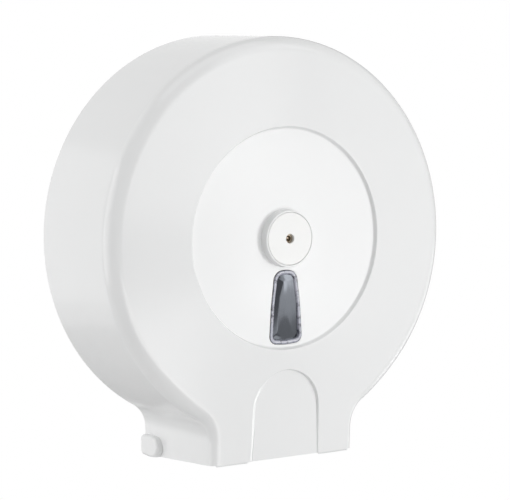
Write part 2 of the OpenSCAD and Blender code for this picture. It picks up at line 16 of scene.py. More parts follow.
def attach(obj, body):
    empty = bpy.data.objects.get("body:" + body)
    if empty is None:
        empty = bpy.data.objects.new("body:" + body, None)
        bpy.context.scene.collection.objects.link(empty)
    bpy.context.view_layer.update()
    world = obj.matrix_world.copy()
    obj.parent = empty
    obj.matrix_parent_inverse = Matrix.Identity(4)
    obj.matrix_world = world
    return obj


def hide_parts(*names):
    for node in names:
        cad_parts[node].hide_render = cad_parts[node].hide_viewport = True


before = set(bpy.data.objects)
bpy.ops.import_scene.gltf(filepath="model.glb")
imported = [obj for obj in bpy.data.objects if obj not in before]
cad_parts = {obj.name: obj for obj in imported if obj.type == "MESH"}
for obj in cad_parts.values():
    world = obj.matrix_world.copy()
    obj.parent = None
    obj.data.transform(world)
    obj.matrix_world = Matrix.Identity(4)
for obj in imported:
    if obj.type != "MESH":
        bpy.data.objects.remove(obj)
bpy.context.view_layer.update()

# %% [markdown]
# ## Sizes
# The maker's drawing is in millimetres, with u to the right, v up the wall and "out" away from
# the wall. Blender works in metres, with the wall behind the object at y = 0. One small function
# takes a point from the drawing to its place, so every size below can be read as on the drawing.

# %% Sizes in millimetres, and the way to the scene
MM = 0.001
DRUM_R = 165.0          # the drum's outer radius at its rear rim
CASE_DEPTH = 110.0      # from the wall to the flat of the front
WALL = 3.0              # thickness of the moulding
RIM = 2.5               # the cover's rear rim stands this far off the wall
DRAFT = 2.5             # how much the sides draw in towards the front
CROWN_DROP = 4.2        # how far the front falls back at its edge
DRUM_ROUND = 12.0       # round of the drum's front edge
FOOT_ROUND = 7.5        # round of the foot's upright front corners
RING_R = 90.6           # the round recess
RECESS = 3.3
RECESS_RUN = 1.5
FOOT_HALF = 72.0
FOOT_DROP = 180.0       # the foot's front lower edge
FOOT_SLOPE = 5.5        # its sides reach this much lower at the wall
BLEND_R = 22.0          # the hollow blend from drum to foot
BOSS_OUT = 3.7          # the lock boss stands this far past the front
CROWN_SLOPE = CROWN_DROP / (DRUM_R - DRAFT - RING_R)
RECESS_OUT = CASE_DEPTH - RECESS
INNER_OUT = RECESS_OUT - WALL
BOSS_TOP = CASE_DEPTH + BOSS_OUT


def place(u, v, out):
    """A point of the drawing, in the scene."""
    return Vector((u * MM, -out * MM, v * MM))


def crown(u, v):
    """How far the front's gentle cone stands from the wall at a point of the front view."""
    return CASE_DEPTH - CROWN_SLOPE * (math.hypot(u, v) - RING_R)


def ease(share):
    """A smooth step from 0 to 1 that starts and ends level."""
    share = min(1, max(0, share))
    return share * share * (3 - 2 * share)


print("crown falls back", round(CROWN_SLOPE * 100, 2), "mm in every 100 mm")

# %% [markdown]
# ## Working tools
# A moulded shell is easiest to build as the mould maker builds it: an outer form, a core that
# hollows it, and small tools that cut or add the details. Each tool is its own closed mesh, and
# Blender's exact boolean joins them. The helpers below turn a bmesh into an object, apply one
# boolean, and finish the shading.


# %% Helpers: objects, booleans, shading
def to_object(bm, name):
    """Writes a bmesh into a new object whose origin stays at the frame's origin."""
    mesh = bpy.data.meshes.new(name)
    bm.to_mesh(mesh)
    bm.free()
    piece = bpy.data.objects.new(name, mesh)
    bpy.context.scene.collection.objects.link(piece)
    return piece


def work(piece, tool, operation):
    """Cuts, joins or intersects a piece with a tool, which is used up."""
    change = piece.modifiers.new(tool.name, "BOOLEAN")
    change.object = tool
    change.operation = operation
    change.solver = "EXACT"
    bpy.context.view_layer.objects.active = piece
    bpy.ops.object.modifier_apply(modifier=change.name)
    bpy.data.objects.remove(tool)


def close_up(bm):
    """Merges doubles and turns every face outwards."""
    bmesh.ops.remove_doubles(bm, verts=bm.verts, dist=0.002 * MM)
    bmesh.ops.dissolve_degenerate(bm, edges=bm.edges, dist=0.001 * MM)
    bmesh.ops.recalc_face_normals(bm, faces=bm.faces)


def mirror(bm):
    """Mirrors a tool made for the right side to the left."""
    bmesh.ops.scale(bm, verts=bm.verts, vec=(-1, 1, 1))


def smooth_shade(piece, sharp_angle=32):
    """Smooth shading, crisp at real corners, in which large faces keep their own normal."""
    bm = bmesh.new()
    bm.from_mesh(piece.data)
    close_up(bm)
    for face in bm.faces:
        face.smooth = True
    for edge in bm.edges:
        edge.smooth = edge.is_manifold and edge.calc_face_angle(0) < math.radians(sharp_angle)
    open_edges = sum(1 for edge in bm.edges if not edge.is_manifold)
    bm.to_mesh(piece.data)
    bm.free()
    weigh = piece.modifiers.new("face_weight", "WEIGHTED_NORMAL")
    weigh.keep_sharp = True
    weigh.weight = 60
    bpy.context.view_layer.objects.active = piece
    bpy.ops.object.modifier_apply(modifier=weigh.name)
    print(piece.name, len(piece.data.polygons), "faces,", open_edges, "open edges")


# %% Helpers: rounded corners and lofts
def corner(a, q, b, radius, steps):
    """Points of the arc that rounds the corner q between a and b, in a flat drawing."""
    a, q, b = Vector(a), Vector(q), Vector(b)
    to_a, to_b = (a - q).normalized(), (b - q).normalized()
    half = to_a.angle(to_b) / 2
    middle = q + (to_a + to_b).normalized() * radius / math.sin(half)
    start = q + to_a * radius / math.tan(half) - middle
    turn = start.angle_signed(q + to_b * radius / math.tan(half) - middle)
    return [middle + Matrix.Rotation(-turn * i / steps, 2) @ start for i in range(steps + 1)]


def rounded(points, radii, steps=5):
    """An open or closed line with its corners rounded; radius 0 keeps a corner."""
    out = []
    count = len(points)
    for i, (point, radius) in enumerate(zip(points, radii)):
        if radius:
            out += corner(points[i - 1], point, points[(i + 1) % count], radius, steps)
        else:
            out.append(Vector(point))
    return out


def loft(tracks, name, close_start=True):
    """Raises a closed form from a ring of vertices, one extruded ring for each step of the tracks.

    tracks[i] is the line that vertex i of the ring follows. Both ends are closed, unless the
    start already folds onto a line. Each face keeps the number of its step as its level."""
    bm = bmesh.new()
    spoke = bm.verts.layers.int.new("spoke")
    level = bm.faces.layers.int.new("level")
    ring = bmesh.ops.create_circle(bm, segments=len(tracks), radius=1)["verts"]
    for i, vert in enumerate(ring):
        vert[spoke] = i
        vert.co = tracks[i][0]
    edges = bm.edges[:]
    if close_start:
        bmesh.ops.contextual_create(bm, geom=edges)
    for step in range(1, len(tracks[0])):
        grown = bmesh.ops.extrude_edge_only(bm, edges=edges)["geom"]
        for vert in (g for g in grown if isinstance(g, bmesh.types.BMVert)):
            vert.co = tracks[vert[spoke]][step]
        for face in (g for g in grown if isinstance(g, bmesh.types.BMFace)):
            face[level] = step
        edges = [g for g in grown if isinstance(g, bmesh.types.BMEdge) and g.is_boundary]
    for face in bmesh.ops.contextual_create(bm, geom=edges)["faces"]:
        face[level] = len(tracks[0])
    close_up(bm)
    return to_object(bm, name)


# %% [markdown]
# ## The cover's outline
# Seen from the front, the case is a circle whose foot is a narrower block, joined to it by two
# hollow blends. The real cover was cut as a steel mould from just such an outline. Here it is a
# ring of points, each with the direction that faces away from the material and the size of the
# round that the front edge has there: wide on the drum, tighter on the foot's upright corners.


# %% The outline
TIGHTEN_FROM_V = -118.0     # below this the front edge's round tightens, down to the foot


def outline():
    """Points, outward directions and edge rounds of the cover, clockwise from the top."""
    blend_u = FOOT_HALF + BLEND_R
    blend_v = -math.sqrt((DRUM_R + BLEND_R) ** 2 - blend_u**2)
    blend_angle = math.degrees(math.atan2(-blend_v, blend_u))
    low_v = -FOOT_DROP - 26             # well past the foot's lower edge, which is cut later
    half = []
    drum_steps, blend_steps, side_steps, low_steps = 104, 12, 7, 10
    for i in range(drum_steps):
        a = math.radians(90 - (90 + blend_angle) * i / drum_steps)
        away = Vector((math.cos(a), math.sin(a)))
        half.append((away * DRUM_R, away))
    for i in range(blend_steps):
        a = math.radians(180 - blend_angle * (1 - i / blend_steps))
        towards = Vector((math.cos(a), math.sin(a)))
        half.append((Vector((blend_u, blend_v)) + towards * BLEND_R, -towards))
    for i in range(side_steps):
        share = i / side_steps
        v = blend_v + (low_v - blend_v) * share
        half.append((Vector((FOOT_HALF, v)), Vector((1, -share))))
    for i in range(low_steps):
        share = 1 - i / low_steps
        half.append((Vector((FOOT_HALF * share, low_v)), Vector((share, -1))))
    left = [(Vector((-p.x, p.y)), Vector((-d.x, d.y))) for p, d in reversed(half[1:])]
    points = half + [(Vector((0, low_v)), Vector((0, -1)))] + left
    result = []
    for point, away in points:
        share = ease((point.y - TIGHTEN_FROM_V) / (blend_v - TIGHTEN_FROM_V))
        result.append((point, away, DRUM_ROUND + (FOOT_ROUND - DRUM_ROUND) * share))
    return result


cover_outline = outline()
print("outline points:", len(cover_outline))

# %% [markdown]
# ## The cover's form
# From each point of the outline a track runs up the drafted side, round the front edge, over the
# gently crowned front, down into the round recess, across its floor and over the lock boss. A
# ring extruded along all the tracks gives the outer form with an even mesh. The core that hollows
# it is lofted in the same way, one wall thickness further in.

# %% Tracks from the rim to the middle
SIDE_LEVELS = (14, 30, 46, 62, 78)      # heights of the rings up the side
EDGE_STEPS = 12
FRONT_STEPS = 7
LEAST_ROUND = 3.0                       # of the core's edge, inside the tightest corner


def track(point, away, edge_round, depth, start_out, middle):
    """The line that one outline point follows, at a depth into the wall."""

    def inset(amount, sink):
        plan = point - away * amount
        return plan, crown(*plan) - sink

    def draft_to(out):
        return depth + DRAFT * (out - RIM) / (CASE_DEPTH - CROWN_DROP - RIM)

    turn = max(edge_round - depth, LEAST_ROUND)
    line = []
    for out in (start_out,) + SIDE_LEVELS:
        plan = point - away * draft_to(out)
        line.append(place(*plan, out))
    for i in range(EDGE_STEPS + 1):
        a = math.radians(90 * i / EDGE_STEPS)
        side = draft_to(CASE_DEPTH - CROWN_DROP - turn * (1 - math.sin(a)))
        plan, out = inset(side + turn * (1 - math.cos(a)), depth + turn * (1 - math.sin(a)))
        line.append(place(*plan, out))
    first = plan
    radial = first.normalized()
    last = radial * middle[0][0]
    for i in range(1, FRONT_STEPS):
        plan = first.lerp(last, i / FRONT_STEPS)
        line.append(place(*plan, crown(*plan) - depth))
    return line + [place(*(radial * r), out) for r, out in middle]


# %% The middle of the front, as a turned profile
BOSS_R = 23.3
CAP_R, CAP_PLAY, CAP_THICK = 21.3, 0.25, 2.6
CAP_BED = BOSS_TOP - CAP_THICK
HOUSING_FLANGE_R, HOUSING_BORE_R = 14.0, 9.55
shoulder_r = RING_R + 3
outer_middle = rounded(
    [(shoulder_r, crown(shoulder_r, 0)), (RING_R, CASE_DEPTH), (RING_R - RECESS_RUN, RECESS_OUT),
     (74, RECESS_OUT), (52, RECESS_OUT), (32, RECESS_OUT), (BOSS_R, RECESS_OUT),
     (BOSS_R - 0.3, BOSS_TOP),
     (CAP_R + CAP_PLAY, BOSS_TOP), (CAP_R + CAP_PLAY, CAP_BED),
     (HOUSING_FLANGE_R + CAP_PLAY, CAP_BED), (HOUSING_FLANGE_R + CAP_PLAY, CAP_BED - 2),
     (HOUSING_BORE_R, CAP_BED - 2), (HOUSING_BORE_R, INNER_OUT - 4)],
    [0, 0.9, 1.6, 0, 0, 0, 0.7, 0.6, 0.2, 0, 0, 0, 0, 0])
inner_ring_r = RING_R + 0.8 * WALL
core_middle = rounded(
    [(shoulder_r + WALL, crown(shoulder_r + WALL, 0) - WALL), (inner_ring_r, CASE_DEPTH - WALL),
     (inner_ring_r - RECESS_RUN, INNER_OUT), (60, INNER_OUT), (30, INNER_OUT)],
    [0, 0.6, 1.0, 0, 0])
CORE_START = -6.0           # the core starts behind the wall, so it cuts the rear right open
outer_form = loft([track(*p, 0, RIM, outer_middle) for p in cover_outline], "cover_shell_form")
core = loft([track(*p, WALL, CORE_START, core_middle) for p in cover_outline], "cover_core")
print("outer form:", len(outer_form.data.vertices), "vertices")


# %% The foot's lower edge
def trim(piece, at, away):
    """Cuts off what lies beyond a plane and closes the cut."""
    bm = bmesh.new()
    bm.from_mesh(piece.data)
    cut = bmesh.ops.bisect_plane(
        bm, geom=bm.verts[:] + bm.edges[:] + bm.faces[:], dist=1e-7, plane_co=at, plane_no=away,
        clear_outer=True)["geom_cut"]
    bmesh.ops.contextual_create(bm, geom=[g for g in cut if isinstance(g, bmesh.types.BMEdge)])
    close_up(bm)
    bm.to_mesh(piece.data)
    bm.free()


front_out = crown(0, -FOOT_DROP)
foot_edge = place(0, -FOOT_DROP, front_out), Vector((0, -FOOT_SLOPE / (front_out - RIM), -1))
trim(outer_form, *foot_edge)
trim(core, place(0, -FOOT_DROP - 11, 0), Vector((0, 0, -1)))
print("foot's edge runs", FOOT_SLOPE, "mm down on its way to the wall")

# %% [markdown]
# ## The arch over the paper outlet
# A round-topped shallow recess runs down the middle of the foot, so that fingers find the end of
# the paper. Its sides lean a little outwards towards the lower edge. Its floor lies below the
# crowned front, deeper at the top than at the foot. The wall is steep, and on the left it starts
# with a flat bevel, which catches the light as one fine bright line. One U-shaped tool cuts it all.
# A second, wider one fills the core behind it, so that the wall stays whole.

# %% The arch
ARCH_HALF = 32.5                        # radius of its round top
ARCH_CENTRE_V = -139.5
ARCH_LEAN = math.radians(1.4)
ARCH_DEPTH, ARCH_FOOT_DEPTH = 3.2, 0.9
ARCH_RUN = 0.9                          # width of its steep wall
BEVEL_RUN, BEVEL_SLOPE = 2.9, math.tan(math.radians(27))
BEVEL_FROM, BEVEL_FADE = 0.55, 0.3      # how far left a side must face to carry the bevel


def arch_depth(v):
    """Depth of the arch recess at a height."""
    share = (v - (ARCH_CENTRE_V + ARCH_HALF)) / (-FOOT_DROP - (ARCH_CENTRE_V + ARCH_HALF))
    return ARCH_DEPTH + (ARCH_FOOT_DEPTH - ARCH_DEPTH) * min(1, max(0, share))


def arch_line(low_v=-214.0, arc_steps=64, side_steps=16):
    """Points and outward directions of the arch's outline, with its lower end closed."""
    centre = Vector((0, ARCH_CENTRE_V))
    line = []
    for i in range(arc_steps + 1):
        a = ARCH_LEAN + (math.pi - 2 * ARCH_LEAN) * i / arc_steps
        away = Vector((math.cos(a), math.sin(a)))
        line.append((centre + away * ARCH_HALF, away))
    for side in (-1, 1):
        away = Vector((side * math.cos(ARCH_LEAN), math.sin(ARCH_LEAN)))
        along = Vector((side * math.sin(ARCH_LEAN), -math.cos(ARCH_LEAN)))
        steps = range(1, side_steps + 1) if side < 0 else range(side_steps, 0, -1)
        for i in steps:
            reach = (ARCH_CENTRE_V - low_v) * i / side_steps
            line.append((centre + away * ARCH_HALF + along * reach, away))
    return line


def to_middle(point, start, parts):
    """Points from a start to the arch's middle line, level with a point of its outline."""
    rise = point.y - ARCH_CENTRE_V
    middle = Vector((0, ARCH_CENTRE_V + rise * (0.6 if rise > 0 else 1)))
    return [start.lerp(middle, part) for part in parts]


def arch_section(point, away):
    """The recess's section there, from its middle up the wall: (place, depth below the front)."""
    depth = arch_depth(point.y)
    bevel = min(BEVEL_RUN, 0.9 * depth / BEVEL_SLOPE) * ease((-away.x - BEVEL_FROM) / BEVEL_FADE)
    sunk = bevel * BEVEL_SLOPE
    foot = bevel + ARCH_RUN
    floor_line = to_middle(point, point - away * foot, (1, 0.75, 0.5, 0.25, 0.03))
    wall = [(-foot, depth - 0.05), (-foot + 0.15, depth - 0.2), (-bevel - 0.2, sunk + 0.25),
            (-bevel - 0.02, sunk + 0.03), (-bevel * 0.5 - 0.005, sunk * 0.5 + 0.01), (0, 0.03),
            (0.25, -0.04), (0.75, -0.2), (0.9, -5)]
    return [(plan, arch_depth(plan.y)) for plan in floor_line] + [
        (point + away * move, deep) for move, deep in wall]


def backing_section(point, away):
    """The section of the wider form that fills the core behind the arch."""
    floor_line = to_middle(point, point + away * 0.5, (1, 0.7, 0.4, 0.1, 0))
    shoulder = [(1.5, 0.5 * arch_depth(point.y) + WALL), (2.2, WALL - 0.4), (2.4, -6)]
    return [(plan, arch_depth(plan.y) + WALL) for plan in floor_line] + [
        (point + away * move, deep) for move, deep in shoulder]


def arch_tool(section, name):
    """Lofts a U-shaped tool from the section at each point of the arch's outline."""
    tracks = []
    for point, away in arch_line():
        tracks.append([place(*plan, crown(*plan) - depth) for plan, depth in section(point, away)])
    tool = loft(tracks, name, close_start=False)
    trim(tool, place(0, -FOOT_DROP - 20, 0), Vector((0, 0, -1)))
    return tool


work(core, arch_tool(backing_section, "arch_backing"), "DIFFERENCE")
work(outer_form, core, "DIFFERENCE")
cover = outer_form
cover.name = "cover_moulding"
work(cover, arch_tool(arch_section, "arch_tool"), "DIFFERENCE")
print("cover with arch:", len(cover.data.polygons), "faces")

# %% [markdown]
# ## Hinge hoods, tear teeth and screw pillars
# At the foot's rear corners a soft D-shaped hood covers the end of each hinge pin. Along the
# foot's front lower edge, on either side of the arch, a row of fine teeth tears the paper. Four
# small pillars inside take the window frame's screws. Each is raised from a flat outline, and the
# hood's outer edge is bevelled, because a moulded edge there is never sharp.

# %% Hoods
HINGE_OUT, HINGE_V = 12.0, -(FOOT_DROP + FOOT_SLOPE) + 9
HOOD_SIDE = FOOT_HALF + 5.3
HOOD_LENGTH, HOOD_HEIGHT, HOOD_ROUND = 27.0, 18.0, 2.8


def hood(side):
    """A D-shaped hood: the hull of four circles, extruded sideways, with a soft outer edge."""
    nose_r, chin_r, heel_r = HOOD_HEIGHT * 0.5, HOOD_HEIGHT * 0.3, 4.0
    foot_v = -(FOOT_DROP + FOOT_SLOPE)
    low, high = foot_v + 0.6, foot_v + HOOD_HEIGHT
    root_u = FOOT_HALF - WALL / 2
    circles = ((RIM + heel_r, low + heel_r, heel_r), (RIM + heel_r, high - heel_r, heel_r),
               (RIM + HOOD_LENGTH - nose_r, high - nose_r, nose_r),
               (RIM + HOOD_LENGTH - chin_r - 1, low + chin_r + 1, chin_r))
    bm = bmesh.new()
    for out, v, radius in circles:
        for u in (root_u, HOOD_SIDE):
            turn = Matrix.Translation(place(u, v, out)) @ Matrix.Rotation(math.pi / 2, 4, "Y")
            bmesh.ops.create_circle(bm, segments=48, radius=radius * MM, matrix=turn)
    hull = bmesh.ops.convex_hull(bm, input=bm.verts)
    bmesh.ops.delete(bm, geom=hull["geom_interior"], context="VERTS")
    bmesh.ops.dissolve_limit(bm, angle_limit=math.radians(0.5), verts=bm.verts, edges=bm.edges)
    close_up(bm)
    tip_u = max(vert.co.x for vert in bm.verts) - 1e-6
    rim_edges = [e for e in bm.edges if all(v.co.x > tip_u for v in e.verts)]
    bmesh.ops.bevel(bm, geom=rim_edges, offset=HOOD_ROUND * MM, offset_type="OFFSET", segments=6,
                    profile=0.5, affect="EDGES", material=-1, clamp_overlap=True)
    if side < 0:
        mirror(bm)
    close_up(bm)
    piece = to_object(bm, "hood")
    trim(piece, *foot_edge)
    return piece


for side in (1, -1):
    work(cover, hood(side), "UNION")
print("cover with hoods:", len(cover.data.polygons), "faces")


# %% Teeth
def tooth_row(side, pitch=2.0, height=1.6, thickness=1.5):
    """A zigzag strip along the foot's lower edge, on one side of the arch."""
    start = ARCH_HALF + 2.4
    count = int((FOOT_HALF - DRAFT - FOOT_ROUND * 0.6 - start) / pitch)
    bm = bmesh.new()
    bmesh.ops.create_grid(bm, x_segments=2 * count, y_segments=1, size=0.5)
    for vert in bm.verts:
        step = round((vert.co.x + 0.5) * 2 * count)
        u = start + step * pitch / 2
        low = vert.co.y < 0
        v = -FOOT_DROP + (2.5 if not low else (-height if step % 2 else 0.1))
        vert.co = place(u, v, crown(u, v) - WALL + 0.1)
    grown = bmesh.ops.extrude_face_region(bm, geom=bm.faces[:])["geom"]
    front = [g for g in grown if isinstance(g, bmesh.types.BMVert)]
    bmesh.ops.translate(bm, verts=front, vec=(0, -thickness * MM, 0))
    if side < 0:
        mirror(bm)
    close_up(bm)
    return to_object(bm, "teeth")


for side in (1, -1):
    work(cover, tooth_row(side), "UNION")
print("cover with teeth:", len(cover.data.polygons), "faces")

# %% [markdown]
# ## Window opening, screw pillars and hinge bores
# The sight window's outline is slim and round at the top and wide at the foot, with a slight hip
# on each side half-way down. One function draws it, grown or shrunk as needed, and a helper
# raises it to a prism. The same outline later makes the lens, so the two always fit.

# %% Window outline and prisms
WINDOW_TOP, WINDOW_HEIGHT = 26.0, 60.4
WINDOW_TOP_HALF, WINDOW_FOOT_HALF = 10.5, 16.0
WINDOW_TOP_R, WINDOW_FOOT_R = 8.3, 6.5
HIP_HEIGHT, HIP_INSET = WINDOW_HEIGHT * 0.5, 1.9     # above and inside the foot's corner


def window_line(grow, steps=6):
    """The window's outline, grown by an amount, clockwise from its upper left corner."""
    top, foot = WINDOW_TOP_HALF + grow, WINDOW_FOOT_HALF + grow
    high, low = -WINDOW_TOP + grow, -WINDOW_TOP - WINDOW_HEIGHT - grow
    hip_u, hip_v = foot - HIP_INSET, low + HIP_HEIGHT
    corners = [(-top, high - 1), (-hip_u, hip_v), (-foot, low + 1), (0, low),
               (foot, low + 1), (hip_u, hip_v), (top, high - 1), (0, high)]
    top_r, foot_r = (max(r + grow, 0.6) for r in (WINDOW_TOP_R, WINDOW_FOOT_R))
    radii = [top_r, 0, foot_r, 0, foot_r, 0, top_r, 0]
    return rounded(corners, radii, steps)


def prism(levels, name):
    """A closed prism through the window's outline, given as (grow, out) levels."""
    lines = [window_line(grow) for grow, out in levels]
    tracks = [[place(*line[i], level[1]) for line, level in zip(lines, levels)]
              for i in range(len(lines[0]))]
    return loft(tracks, name)


def rod(u, v, radius, out_low, out_high, name, segments=32):
    """A round bar that stands out from the wall."""
    bm = bmesh.new()
    middle = place(u, v, (out_low + out_high) / 2)
    bmesh.ops.create_cone(
        bm, cap_ends=True, segments=segments, radius1=radius * MM, radius2=radius * MM,
        depth=(out_high - out_low) * MM,
        matrix=Matrix.Translation(middle) @ Matrix.Rotation(math.pi / 2, 4, "X"))
    close_up(bm)
    return to_object(bm, name)


PEG_RING_R, PEG_R, PEG_HOLE_R, PEG_LENGTH = 18.0, 1.4, 1.45, 5.0


def pegs(radius, out_low, out_high):
    """The three locating pegs behind the lock's cap, or the holes for them."""
    for angle in (90, 210, 330):
        a = math.radians(angle)
        yield rod(PEG_RING_R * math.cos(a), PEG_RING_R * math.sin(a), radius, out_low, out_high,
                  "peg")


# %% Screw pillars, window opening, hinge bores and peg holes
PILLARS = [(side * u, v) for side in (-1, 1) for u, v in ((16.8, -36.87), (20.4, -75.53))]
PILLAR_R, PILOT_R = 2.0, 1.0
WINDOW_PLAY = 0.15
BORE_R, BORE_LENGTH = 3.06, 26.0

for u, v in PILLARS:
    work(cover, rod(u, v, PILLAR_R, INNER_OUT - 1.4, INNER_OUT + 1.2, "pillar"), "UNION")
    work(cover, rod(u, v, PILOT_R, INNER_OUT - 3, INNER_OUT + 1.2, "pilot"), "DIFFERENCE")
window_levels = [(WINDOW_PLAY, INNER_OUT - 2), (WINDOW_PLAY, RECESS_OUT - 0.35),
                 (WINDOW_PLAY + 0.3, RECESS_OUT + 0.02), (WINDOW_PLAY + 0.35, RECESS_OUT + 2)]
work(cover, prism(window_levels, "window_tool"), "DIFFERENCE")
bm = bmesh.new()
for side in (-1, 1):
    bore_u = side * (HOOD_SIDE - 2 - BORE_LENGTH / 2)
    bmesh.ops.create_cone(
        bm, cap_ends=True, segments=48, radius1=BORE_R * MM, radius2=BORE_R * MM,
        depth=BORE_LENGTH * MM, matrix=Matrix.Translation(place(bore_u, HINGE_V, HINGE_OUT))
        @ Matrix.Rotation(math.pi / 2, 4, "Y"))
close_up(bm)
work(cover, to_object(bm, "hinge_bores"), "DIFFERENCE")
for hole in pegs(PEG_HOLE_R, CAP_BED - PEG_LENGTH - 0.05, CAP_BED + 1):
    work(cover, hole, "DIFFERENCE")
smooth_shade(cover)
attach(cover, "cover")
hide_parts("cover_shell")

# %% [markdown]
# ## The sight window
# The lens is one plastic moulding. Its raised rim is left clear, and inside the rim lies a sunk,
# smoke-grey pane. The pane bends inwards a little towards its foot and has a sloping facet along
# its left side, so its reflection fades downwards and stops at a clean edge. It is lofted from
# the window's outline, up over the rim and down its inner wall to the pane. The faces remember
# their level, which tells rim from pane. Two small nicks in the rim are the moulding's marks.

# %% The lens
LENS_TOP = RECESS_OUT + 0.8
LENS_RIM = 3.4
PANE_SUNK = 1.0                         # the top of the pane, below the rim
PANE_BEND_DOWN = 0.0006                 # how its foot bends inwards, in mm for each mm squared
FACET_WIDTH, FACET_SLOPE = 5.0, 0.35    # the facet along its left side
FACET_FROM, FACET_FADE = 0.6, 0.3       # how far left, as a share of the pane's half width
RIM_LEVELS = range(5, 12)
NOTCH_U, NOTCH_R = 13.9, 0.55


def pane_out(plan, inset):
    """How far the pane stands from the wall, at a place this far inside the rim."""
    down = -WINDOW_TOP - plan.y
    half = WINDOW_TOP_HALF + (WINDOW_FOOT_HALF - WINDOW_TOP_HALF) * down / WINDOW_HEIGHT - LENS_RIM
    share = min(1, max(0, (-plan.x / (half - inset) - FACET_FROM) / FACET_FADE))
    facet = FACET_SLOPE * max(0, FACET_WIDTH - inset) * share
    return LENS_TOP - PANE_SUNK - PANE_BEND_DOWN * down**2 - facet


def lens():
    """The lens, with the faces of its rim in a second material slot."""
    levels = [(2.0, INNER_OUT - 1.4), (2.0, INNER_OUT), (0, INNER_OUT), (0, RECESS_OUT - 0.1),
              (-0.05, LENS_TOP - 0.45), (-0.25, LENS_TOP - 0.15), (-0.6, LENS_TOP),
              (-1.6, LENS_TOP + 0.02), (-2.5, LENS_TOP - 0.1), (-2.9, LENS_TOP - 0.4),
              (-3.1, LENS_TOP - 0.7)]
    lines = [window_line(grow) for grow, out in levels]
    insets = (0.15, 1.7, 3.3, 4.5, 5.5)
    pane_lines = [window_line(-LENS_RIM - inset) for inset in insets]
    middle = Vector((0, -WINDOW_TOP - WINDOW_HEIGHT / 2))
    tracks = []
    for i, inner in enumerate(window_line(-LENS_RIM)):
        points = [place(*line[i], level[1]) for line, level in zip(lines, levels)]
        points.append(place(*inner, pane_out(inner, 0) + 0.12))
        for inset, line in zip(insets, pane_lines):
            points.append(place(*line[i], pane_out(line[i], inset)))
        for part in (0.3, 0.65):
            plan = pane_lines[-1][i].lerp(middle, part)
            points.append(place(*plan, pane_out(plan, FACET_WIDTH + 1)))
        tracks.append(points)
    piece = loft(tracks, "window_pane")
    for face, level in zip(piece.data.polygons, piece.data.attributes["level"].data):
        face.material_index = 1 if level.value in RIM_LEVELS else 0
    return piece


pane = lens()
for side, notch_v in ((-1, -57.0), (1, -54.5)):
    notch = rod(side * NOTCH_U, notch_v, NOTCH_R, RECESS_OUT + 0.15, LENS_TOP + 1, "notch", 12)
    work(pane, notch, "DIFFERENCE")
smooth_shade(pane, 24)
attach(pane, "cover")
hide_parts("window_lens")

# %% [markdown]
# ## The lock's cap
# A flat round plate fills the lock boss, flush with its rim, with a hole for the key. It is a
# turned profile: its section is spun once round the axis. Its edges carry the small round that
# every moulding has, so the gap round it catches a fine line of shade. Three pegs hold it.


# %% The cap
def turned(section, name, steps=96):
    """Spins a section of (radius, out) points round the drum's axis."""
    bm = bmesh.new()
    verts = [bm.verts.new(place(r, 0, out)) for r, out in section]
    for a, b in zip(verts, verts[1:] + verts[:1]):
        bm.edges.new((a, b))
    bmesh.ops.spin(bm, geom=bm.verts[:] + bm.edges[:], cent=(0, 0, 0), axis=(0, 1, 0),
                   angle=math.tau, steps=steps, use_merge=True, use_duplicate=False)
    close_up(bm)
    return to_object(bm, name)


KEY_HOLE_R = 3.8
cap = turned(rounded([(KEY_HOLE_R, CAP_BED), (CAP_R, CAP_BED), (CAP_R, BOSS_TOP),
                      (KEY_HOLE_R, BOSS_TOP)], [0, 0, 0.35, 0.45], 4), "cap_plate")
for peg in pegs(PEG_R, CAP_BED - PEG_LENGTH, CAP_BED + 0.5):
    work(cap, peg, "UNION")
smooth_shade(cap)
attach(cap, "cover")
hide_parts("lock_cap")

# %% [markdown]
# ## Finishes
# The case is glossy white ABS. Even a plain white moulding isn't one flat colour: its gloss varies
# softly where the mould was polished, the surface has a very fine waviness, and handling leaves
# faint scuffs. Each finish below is a Principled shader with those small variations on Object
# coordinates, at their real size.

# %% Building a finish
def new_finish(name):
    """An empty material with a Principled shader and Object coordinates."""
    finish = bpy.data.materials.new(name)
    finish.use_nodes = True
    nodes, links = finish.node_tree.nodes, finish.node_tree.links
    shader = nodes["Principled BSDF"]
    where = nodes.new("ShaderNodeTexCoord")
    return finish, nodes, links, shader, where.outputs["Object"]


def noise(nodes, links, where, scale, detail=2.0, stretch=None):
    """A noise pattern; stretch scales it along X, Y and Z."""
    if stretch:
        mapping = nodes.new("ShaderNodeMapping")
        mapping.inputs["Scale"].default_value = stretch
        links.new(where, mapping.inputs["Vector"])
        where = mapping.outputs["Vector"]
    pattern = nodes.new("ShaderNodeTexNoise")
    pattern.inputs["Scale"].default_value = scale
    pattern.inputs["Detail"].default_value = detail
    links.new(where, pattern.inputs["Vector"])
    return pattern.outputs["Fac"]


def spread(nodes, links, source, low, high, from_low=0.3, from_high=0.7):
    """Maps a pattern to a range of values."""
    ramp = nodes.new("ShaderNodeMapRange")
    for name, value in (("From Min", from_low), ("From Max", from_high),
                        ("To Min", low), ("To Max", high)):
        ramp.inputs[name].default_value = value
    links.new(source, ramp.inputs["Value"])
    return ramp.outputs["Result"]


def tint(nodes, links, share, colour_a, colour_b):
    """Blends two colours by a pattern."""
    mix = nodes.new("ShaderNodeMix")
    mix.data_type = "RGBA"
    mix.inputs[6].default_value = (*colour_a, 1)
    mix.inputs[7].default_value = (*colour_b, 1)
    links.new(share, mix.inputs[0])
    return mix.outputs[2]


